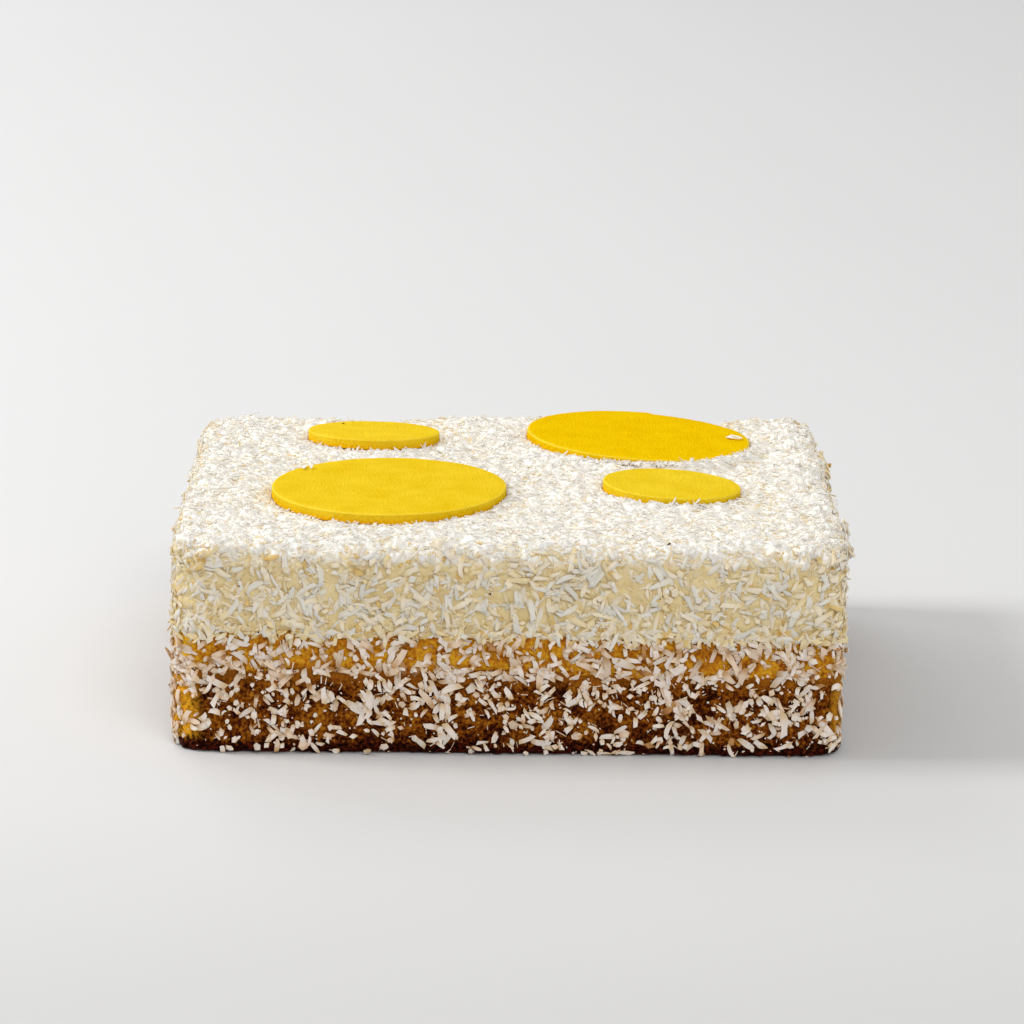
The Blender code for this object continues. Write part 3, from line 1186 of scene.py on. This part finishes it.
def spotsOn(piece, count, rng, likely):
    # random spots on a piece, even by area, kept with the chance that likely(spots, facing) gives, but
    # none on its flat underside
    mesh = piece.data
    mesh.calc_loop_triangles()
    corners = np.empty(len(mesh.loop_triangles) * 3, np.int32)
    mesh.loop_triangles.foreach_get("vertices", corners)
    corners = corners.reshape(-1, 3)
    places = readVectors(mesh.vertices, "co")
    facing = softFacing(mesh)
    a, b, c = (places[corners[:, i]] for i in range(3))
    flat = np.cross(b - a, c - a)
    reach = np.cumsum(np.linalg.norm(flat, axis=1))
    flat = unit(flat)
    spots, normals = np.empty((0, 3)), np.empty((0, 3))
    while len(spots) < count:
        face = np.searchsorted(reach, rng.random(count) * reach[-1])
        hit = corners[face]
        share = rng.random((count, 2))
        share = np.where(share.sum(1, keepdims=True) > 1, 1 - share, share)
        weights = np.column_stack([1 - share.sum(1), share])
        spot = np.einsum("ni,nij->nj", weights, places[hit])
        normal = unit(np.einsum("ni,nij->nj", weights, facing[hit]))
        kept = rng.random(count) < likely(spot, normal) * (flat[face, 2] > -0.97)
        spots = np.vstack([spots, spot[kept]])
        normals = np.vstack([normals, normal[kept]])
    return spots[:count], normals[:count]


def clearTable(places):
    # how far each shred has to rise to stay on the table
    lift = np.maximum(0, layingForm["tableClearance"] - places[:, :, 2].min(1))
    return np.column_stack([np.zeros((len(lift), 2)), lift])


def clearDiscs(places, spots):
    # how far each shred has to move outwards to stay out of the discs
    push = np.zeros((len(places), 3))
    clearance = layingForm["clearance"]
    for disc in discs.values():
        offsets = places - disc["centre"]
        height = offsets @ disc["axis"]
        reach = np.linalg.norm(offsets - height[..., None] * disc["axis"], axis=2)
        inside = (np.abs(height) < disc["thickness"] / 2 + clearance) & (reach < disc["radius"] + clearance)
        depth = np.where(inside, disc["radius"] + clearance - reach, 0).max(1)
        away = spots[:, :2] - disc["centre"][:2]
        push[:, :2] += unit(away) * depth[:, None]
    return push


def drawShreds(spots, normals, form, kinds, rng, shadeOf):
    # each shred's own shape, size, turn, bend, place and colour
    count = len(spots)
    drawn = {"kind": rng.integers(kinds, size=count)}
    length = np.clip(form["length"] * np.exp(rng.normal(0, form["spread"], count)), *form["lengths"])
    width = form["width"] * (length / form["length"]) ** 0.4 * rng.uniform(*layingForm["widths"], count)
    thick = form["thick"] * rng.uniform(*layingForm["thicknesses"], count)
    drawn["size"] = (length, np.minimum(width, layingForm["widest"] * length), thick)
    heading = rng.uniform(0, 2 * np.pi, count)
    lean = np.abs(rng.normal(0, np.radians(form["lean"]), count))
    standing = rng.random(count) < form["standing"]
    lean = np.where(standing, np.radians(rng.uniform(*layingForm["standingLeans"], count)), lean)
    roll = rng.normal(0, np.radians(form["roll"]), count)
    drawn["axes"] = shredAxes(normals, heading, lean, roll)
    drawn["twist"] = rng.normal(0, np.radians(form["twist"]), count)
    drawn["bow"] = rng.normal(0, form["bow"], count)
    drawn["curve"] = rng.normal(0, form["curve"], count)
    pileShare = rng.random(count) ** layingForm["piling"]
    lift = form["sink"] + thick / 2 + form["pile"] * pileShare + 0.36 * length * np.sin(lean)
    drawn["centre"] = spots + normals * lift[:, None]
    tone = np.floor(rng.beta(*layingForm["tones"], count) * toneCount)
    drawn["tone"] = np.minimum(tone, toneCount - 1)
    drawn["shade"] = shadeOf(spots, 1 - pileShare, rng)
    return drawn


def shredAxes(normals, heading, lean, roll):
    # the ways in which each shred's length, width and thickness point
    helper = np.where(np.abs(normals[:, 2:]) < 0.9, [[0.0, 0.0, 1.0]], [[1.0, 0.0, 0.0]])
    first = unit(np.cross(helper, normals))
    second = np.cross(normals, first)
    along = np.cos(heading)[:, None] * first + np.sin(heading)[:, None] * second
    across = np.cross(normals, along)
    axis = np.cos(lean)[:, None] * along + np.sin(lean)[:, None] * normals
    up = np.cross(axis, across)
    side = np.cos(roll)[:, None] * across + np.sin(roll)[:, None] * up
    return axis, side, np.cross(axis, side)


def placeShreds(shape, mine, drawn):
    # one shape's corners for each of its shreds: sized, twisted, bent, turned and laid in place
    local = shape["places"]
    x, y, z = (local[:, i] * size[mine, None] for i, size in enumerate(drawn["size"]))
    angle = drawn["twist"][mine, None] * local[:, 0] * 2
    y, z = y * np.cos(angle) - z * np.sin(angle), y * np.sin(angle) + z * np.cos(angle)
    arc = (4 * local[:, 0] ** 2 - 0.35) * drawn["size"][0][mine, None]
    y = y + drawn["curve"][mine, None] * arc
    z = z + drawn["bow"][mine, None] * arc
    turned = (amount[..., None] * way[mine, None] for amount, way in zip((x, y, z), drawn["axes"]))
    centres = drawn["centre"][mine]
    places = centres[:, None] + sum(turned)
    places = places + clearDiscs(places, centres)[:, None]
    return places + clearTable(places)[:, None]


def layShreds(name, shapes, spots, normals, form, rng, shadeOf):
    # one joined mesh of many shreds
    drawn = drawShreds(spots, normals, form, len(shapes), rng, shadeOf)
    parts = {key: [] for key in ("places", "corners", "starts", "map", "tone", "shade", "own", "below")}
    vertexCount = cornerCount = 0
    for index, shape in enumerate(shapes):
        mine = np.flatnonzero(drawn["kind"] == index)
        order = np.arange(len(mine))[:, None]
        tone, shade = drawn["tone"][mine], drawn["shade"][mine]
        verts, corners = len(shape["places"]), len(shape["corners"])
        parts["places"].append(placeShreds(shape, mine, drawn).reshape(-1, 3))
        parts["corners"].append((shape["corners"] + vertexCount + order * verts).ravel())
        parts["starts"].append((shape["starts"] + cornerCount + order * corners).ravel())
        # shreds of one shape, shade and tone share one cell of the map
        column = (shade * toneCount + tone) / cellCount
        cell = np.column_stack([column, np.full(len(mine), index / len(shapes))])
        margin = shapeForm["mapMargin"]
        inCell = (shape["map"] * (1 - 2 * margin) + margin) / (cellCount, len(shapes))
        parts["map"].append((cell[:, None] + inCell).reshape(-1, 2))
        parts["tone"].append(np.repeat(tone / (toneCount - 1), verts))
        parts["shade"].append(np.repeat((shade + 0.5) / len(shredShades), verts))
        parts["own"].append(np.tile(shape["places"], (len(mine), 1)))
        parts["below"].append(np.repeat(normals[mine], corners, axis=0))
        vertexCount += len(mine) * verts
        cornerCount += len(mine) * corners
    piece = joinShreds(name, {key: np.concatenate(values) for key, values in parts.items()}, form["soften"])
    triangles = sum(shapes[kind]["triangles"] for kind in drawn["kind"])
    print(name, len(spots), "shreds,", triangles, "triangles")
    return piece


def joinShreds(name, joined, soften):
    mesh = bpy.data.meshes.new(name)
    mesh.vertices.add(len(joined["places"]))
    mesh.loops.add(len(joined["corners"]))
    mesh.polygons.add(len(joined["starts"]))
    mesh.vertices.foreach_set("co", joined["places"].ravel())
    mesh.loops.foreach_set("vertex_index", joined["corners"])
    mesh.polygons.foreach_set("loop_start", joined["starts"])
    mesh.update(calc_edges=True)
    for key in ("tone", "shade"):
        mesh.attributes.new(key, "FLOAT", "POINT").data.foreach_set("value", joined[key])
    shredPlace = mesh.attributes.new("shredPlace", "FLOAT_VECTOR", "POINT")
    shredPlace.data.foreach_set("vector", joined["own"].ravel())
    mesh.uv_layers.new(name="OFBake").data.foreach_set("uv", joined["map"].ravel())
    if soften:
        # turns each corner's normal away from the surface below, for light that passes through the coconut
        own = readVectors(mesh.corner_normals, "vector")
        mesh.normals_split_custom_set(unit(own + joined["below"] * soften))
    else:
        mesh.shade_flat()
    piece = bpy.data.objects.new(name, mesh)
    scene.collection.objects.link(piece)
    return piece


# gloss is the coconut's shine, sheen the soft light that loose coconut gathers
shredLook = {
    "drying": {"roughness": 0.6, "fibre": 0.16, "darkest": 0.84, "sheen": 0.0},
    "soaked": {"roughness": 0.6, "fibre": 0.10, "darkest": 0.88, "sheen": 0.0},
    "fluffy": {"roughness": 0.8, "fibre": 0.04, "darkest": 0.93, "sheen": 0.5},
}
allShreds = {"gloss": 0.2, "sheenRoughness": 0.7, "bump": (0.25, 0.1 * mm)}


def makeShredMaterial(name):
    look = shredLook[name]
    material, tree, shader = newMaterial(name + "Coconut")
    tone = placeGroup(tree, shredGroup, 1, 0, {"Fibre Depth": look["fibre"], "Darkest": look["darkest"]})
    wire(tree, (tone.outputs["Colour"], shader.inputs["Base Color"]))
    addBump(tree, shader, tone.outputs["Fibre"], *allShreds["bump"])
    shader.inputs["Roughness"].default_value = look["roughness"]
    shader.inputs["Diffuse Roughness"].default_value = 1.0
    shader.inputs["Specular IOR Level"].default_value = allShreds["gloss"]
    shader.inputs["Sheen Weight"].default_value = look["sheen"]
    shader.inputs["Sheen Roughness"].default_value = allShreds["sheenRoughness"]
    return material


# sizes in metres, leans, rolls and twists in degrees, bows and curves as shares of the length
shredForm = {
    "base": {
        "length": 2.45 * mm, "lengths": (1.1 * mm, 6.2 * mm), "spread": 0.38, "width": 1.0 * mm,
        "thick": 0.42 * mm, "lean": 7, "standing": 0.015, "roll": 11, "twist": 6, "bow": 0.025, "curve": 0.02,
        "soften": 0, "sink": -0.12 * mm, "pile": 0.6 * mm,
    },
    "cream": {
        "length": 3.1 * mm, "lengths": (1.2 * mm, 5.6 * mm), "spread": 0.32, "width": 1.0 * mm,
        "thick": 0.28 * mm, "lean": 7, "standing": 0.0, "roll": 12, "twist": 8, "bow": 0.03, "curve": 0.03,
        "soften": 0.2, "sink": -0.40 * mm, "pile": 0.55 * mm,
    },
    "seam": {
        "length": 2.5 * mm, "lengths": (1.0 * mm, 4.6 * mm), "spread": 0.36, "width": 0.9 * mm,
        "thick": 0.34 * mm, "lean": 10, "standing": 0.04, "roll": 12, "twist": 8, "bow": 0.03, "curve": 0.03,
        "soften": 0, "sink": -0.1 * mm, "pile": 0.7 * mm,
    },
    "top": {
        "length": 1.3 * mm, "lengths": (0.6 * mm, 2.8 * mm), "spread": 0.34, "width": 0.62 * mm,
        "thick": 0.13 * mm, "lean": 6, "standing": 0.02, "roll": 8, "twist": 12, "bow": 0.0, "curve": 0.0,
        "soften": 0, "sink": -0.22 * mm, "pile": 0.24 * mm,
    },
    "bank": {
        "length": 1.4 * mm, "lengths": (0.6 * mm, 2.6 * mm), "spread": 0.34, "width": 0.6 * mm,
        "thick": 0.2 * mm, "lean": 16, "standing": 0.04, "roll": 18, "twist": 12, "bow": 0.0, "curve": 0.0,
        "soften": 0, "sink": -0.20 * mm, "pile": 0.2 * mm,
    },
    "needle": {
        "length": 1.7 * mm, "lengths": (0.8 * mm, 4.2 * mm), "spread": 0.38, "width": 0.32 * mm,
        "thick": 0.2 * mm, "lean": 11, "standing": 0.03, "roll": 60, "twist": 0, "bow": 0.0, "curve": 0.0,
        "soften": 0, "sink": -0.15 * mm, "pile": 0.45 * mm,
    },
    "chip": {
        "length": 1.9 * mm, "lengths": (0.9 * mm, 3.3 * mm), "spread": 0.32, "width": 1.35 * mm,
        "thick": 0.42 * mm, "lean": 11, "standing": 0.03, "roll": 13, "twist": 5, "bow": 0.0, "curve": 0.0,
        "soften": 0, "sink": -0.10 * mm, "pile": 0.7 * mm,
    },
    "crumb": {
        "length": 0.6 * mm, "lengths": (0.3 * mm, 1.1 * mm), "spread": 0.3, "width": 0.5 * mm,
        "thick": 0.25 * mm, "lean": 20, "standing": 0.0, "roll": 20, "twist": 0, "bow": 0.0, "curve": 0.0,
        "soften": 0, "sink": -0.1 * mm, "pile": 0.45 * mm,
    },
}
seamBand = 2.2 * mm  # coconut this near the seam is denser and more soaked


# how likely coconut is on each part, with the size and the share of its thick and thin patches
baseCoat = {
    "chance": 0.56,
    "least": 0.12,
    "patches": (6 * mm, 0.7),
    "onJelly": 0.25,
    "jellyFrom": 19 * mm,
    "corner": 0.12,  # less of it at the upright corners
    "cornerReach": (73 * mm, 77 * mm),
    "cornerDepth": 58 * mm,
    "lower": 0.12,  # less of it between these heights, and again at the foot
    "lowerReach": (14 * mm, 8 * mm),
    "foot": 0.35,
    "footReach": (3.5 * mm, 1.0 * mm),
}
sideCoat = {"chance": 0.55, "least": 0.2, "patches": (5 * mm, 0.5), "seam": 0.5, "seamFull": 0.7 * mm}
seamCoat = {"chance": 0.6, "least": 0.1, "patches": (4 * mm, 0.8)}


def patchyChance(form, spots, change, seed):
    size, share = form["patches"]
    return np.clip(form["chance"] + change + share * clumps(spots, size, seed), form["least"], 1)


def onBase(spots, normals):
    form = baseCoat
    x, y, z = spots.T
    onJelly = np.where(z > form["jellyFrom"], form["onJelly"], 0)
    corner = form["corner"] * fade(np.abs(x), *form["cornerReach"]) * (np.abs(y) > form["cornerDepth"])
    lower = form["lower"] * fade(z, *form["lowerReach"]) + form["foot"] * fade(z, *form["footReach"])
    return (np.abs(normals[:, 2]) < 0.75) * patchyChance(form, spots, onJelly - lower - corner, 3)


def onCreamSide(spots, normals):
    seam = sideCoat["seam"] * fade(spots[:, 2] - seamHeight, seamBand, sideCoat["seamFull"])
    return (normals[:, 2] < 0.5) * (normals[:, 2] > -0.6) * patchyChance(sideCoat, spots, seam, 9)


def atSeam(spots, normals):
    near = np.abs(spots[:, 2] - seamHeight) < seamBand
    return near * (np.abs(normals[:, 2]) < 0.8) * patchyChance(seamCoat, spots, 0, 17)


def onTop(spots, normals):
    return (normals[:, 2] > 0.25) * (beyondDiscs(spots) > -0.4 * mm)


def anywhere(spots, normals):
    bare = (beyondDiscs(spots) > -0.2 * mm) | (normals[:, 2] < 0.3)
    return (normals[:, 2] > -0.6) * bare


def mostlyTop(spots, normals):
    return anywhere(spots, normals) * np.where(normals[:, 2] > 0.3, 1, 0.3)


def nearStain(spots):
    reach = np.full(len(spots), 1.0)
    for spot, radius in creamLook["stains"]:
        reach = np.minimum(reach, np.linalg.norm(spots - np.array(spot) * mm, axis=1) / (radius * mm))
    return reach < 0.9


# chances of the next darker shade; those with a depth grow from 0 on the surface to full underneath
shadeForm = {
    "topCream": 0.15, "topCreamDepth": 0.6, "topDepth": 0.03,
    "sideTan": 0.05, "sideTanDepth": 0.70, "sideAmberDepth": 0.12, "sideWhite": 0.75, "seamSoak": 0.3,
    "baseTan": 0.10, "jellyTan": 0.25, "baseTanDepth": 0.40, "baseBrownDepth": 0.06,
    "jellyFrom": 20.4 * mm,
    "whiteReach": (-2.6 * mm, 1.8 * mm),  # the side turns white between these heights about the top
    "whiteWander": 3.0 * mm,
}


def shadeByPlace(spots, depth, rng):
    # an index into shredShades: 0 or 1 on the top, 1 to 4 on the cream's side and 5 to 7 on the base,
    # and the deeper ones are more soaked
    form = shadeForm
    count = len(spots)
    height = spots[:, 2]
    tufts = tuftiness(spots)
    draw = rng.random(count)
    # a few creamy flakes anywhere, and painted shade: flakes deep in the valleys between the clumps take the
    # creamier shade
    creamTintAndValleyShade = rng.random(count) < form["topCream"] + form["topCreamDepth"] * depth * (tufts < 0)
    anywhereDeep = rng.random(count) < form["topDepth"] * depth
    top = creamTintAndValleyShade | anywhereDeep
    white = rng.random(count) < form["sideWhite"] * (1 - depth)
    tan = draw < form["sideTan"] + form["sideTanDepth"] * depth
    side = 2 + tan + (draw < form["sideAmberDepth"] * depth) - white
    side = side + (height < seamHeight + seamBand) * (rng.random(count) < form["seamSoak"])
    side = np.where(nearStain(spots), 3 + (draw < 0.5), side)
    onJelly = form["jellyTan"] * (height > form["jellyFrom"])
    soaked = draw < form["baseTan"] + onJelly + form["baseTanDepth"] * depth
    base = 5 + soaked + (draw < form["baseBrownDepth"] * depth)
    aboutTop = height + form["whiteWander"] * tufts - creamTop
    whiteShare = fade(aboutTop, *form["whiteReach"])
    level = np.where(rng.random(count) < whiteShare, top, side)
    return np.where(height < seamHeight - 0.3 * mm, base, level).astype(int)


rng = np.random.default_rng(41)
coconutLooks = {name: makeShredMaterial(name) for name in shredLook}

# specks of shell in the coconut: where each lies, in millimetres, and the way it faces
speckForm = [
    ((37.2, -67.6, 52.2), (0, -0.5, 0.85)), ((-63.3, -68.3, 42.1), (0, -1, 0)),
    ((-58.9, -68.3, 30.9), (0, -1, 0)), ((-4.6, -68.1, 40.4), (0, -1, 0)),
]
speckRoom = 1.7 * mm  # the coconut keeps this clear of them


def coat(name, shapes, key, look, spots, normals):
    apart = [np.linalg.norm(spots - np.array(place) * mm, axis=1) for place, _ in speckForm]
    free = np.min(apart, axis=0) > speckRoom
    piece = layShreds(name, shapes, spots[free], normals[free], shredForm[key], rng, shadeByPlace)
    settle(piece, "coconut", coconutLooks[look])


# each piece: its shapes, sizes, look and likely places, and how many are tried on each layer
coatForm = {
    "shredsOnBase": (strips, "base", "drying", onBase, ((sponge, 1736), (jelly, 1364))),
    "shredsOnCream": (strips, "cream", "soaked", onCreamSide, ((cream, 5600),)),
    "shredsOnTop": (flakes, "top", "fluffy", onTop, ((cream, 16500),)),
    "shredsAtSeam": (strips, "seam", "soaked", atSeam, ((cream, 600), (jelly, 400))),
    "needlesOnBase": (needles, "needle", "drying", onBase, ((sponge, 1080), (jelly, 720))),
    "needlesOnCream": (needles, "needle", "fluffy", anywhere, ((cream, 7500),)),
    "chipsOnBase": (chips, "chip", "drying", onBase, ((sponge, 1020), (jelly, 480))),
    "chipsOnCream": (chips, "chip", "soaked", onCreamSide, ((cream, 450),)),
    "crumbsOnBase": (crumbs, "crumb", "drying", onBase, ((sponge, 1300),)),
    "crumbsOnCream": (crumbs, "crumb", "fluffy", mostlyTop, ((cream, 9000),)),
}
for name, (shapes, key, look, likely, layers) in coatForm.items():
    found = [spotsOn(layer, count, rng, likely) for layer, count in layers]
    coat(name, shapes, key, look, *(np.vstack(rows) for rows in zip(*found)))

bankCoat = {
    "perLength": 7 / mm,
    "unevenness": 0.4 * mm,
    "start": 0.3 * mm,  # away from the rim
    "width": 1.4 * mm,
    "fall": 0.25 * mm,
    "outward": 0.25,  # how far the flakes face away from the disc
}


def bankSpots(node, rng):
    disc = discs[node]
    count = int(2 * math.pi * disc["radius"] * bankCoat["perLength"])
    angle = rng.uniform(0, 2 * np.pi, count)
    out = np.column_stack([np.cos(angle), np.sin(angle), np.zeros(count)])
    uneven = clumps(disc["centre"] + out * disc["radius"], 3.0 * mm, 21)
    highest = bankHeight(node, angle) + bankCoat["unevenness"] * uneven
    share = rng.random(count)
    slope = -(out @ disc["axis"]) / disc["axis"][2]  # the rim rises and falls with the disc's own tilt
    bottom = disc["centre"][2] - disc["thickness"] / 2 + disc["radius"] * slope
    spots = disc["centre"] + out * (disc["radius"] + bankCoat["start"] + bankCoat["width"] * share)[:, None]
    spots[:, 2] = bottom + highest - bankCoat["fall"] * share
    return spots, unit(out * bankCoat["outward"] + [0, 0, 1])


banks = [bankSpots(node, rng) for node in discNames]
coat("flakesAtDiscs", flakes, "bank", "fluffy", *(np.vstack(rows) for rows in zip(*banks)))

# what lies on the discs: the disc and the place in plan, in millimetres
discSpeck = ("mango_disc_small_left", -42.7, 45.5)
strayForm = [
    ("mango_disc_large_left", -49.1, -1.5), ("mango_disc_large_left", -50.9, -1.4),
    ("mango_disc_large_right", 57.6, 38.6), ("mango_disc_large_right", 58.9, 37.6),
    ("mango_disc_large_right", 59.6, 39.4),
]
strayHeight = 0.35 * mm
strayChanges = {
    "length": 3.0 * mm, "lengths": (1.6 * mm, 3.6 * mm), "spread": 0.15, "width": 0.9 * mm,
    "sink": 0.0, "pile": 0.0, "lean": 3, "standing": 0,
}
speckChanges = {"length": 0.9 * mm, "sink": 0.25 * mm, "pile": 0.0}
whitest, shell = 0, len(shredShades) - 1  # shades


def onDisc(node, x, y):
    disc = discs[node]
    step = np.array([x * mm, y * mm, 0]) - disc["centre"] * [1, 1, 0]
    rise = -(step @ disc["axis"]) / disc["axis"][2]
    above = disc["axis"] * (disc["thickness"] / 2 + strayHeight)
    return (disc["centre"] + step + [0, 0, rise] + above) / mm, disc["axis"]


def layGiven(name, shapes, key, look, given, shade, changes):
    # shreds at given spots, in millimetres, facing given ways, all of one shade
    spots, normals = (np.array(rows, float) for rows in zip(*given))
    form = {**shredForm[key], **changes}
    shades = np.full(len(spots), shade)
    piece = layShreds(name, shapes, spots * mm, unit(normals), form, rng, lambda *_: shades)
    settle(piece, "coconut", coconutLooks[look])


specks = [*speckForm, onDisc(*discSpeck)]
strays = [onDisc(*place) for place in strayForm]
layGiven("shellSpecks", crumbs, "crumb", "drying", specks, shell, speckChanges)
layGiven("strayShreds", strips, "top", "fluffy", strays, whitest, strayChanges)
print("coconut is on")
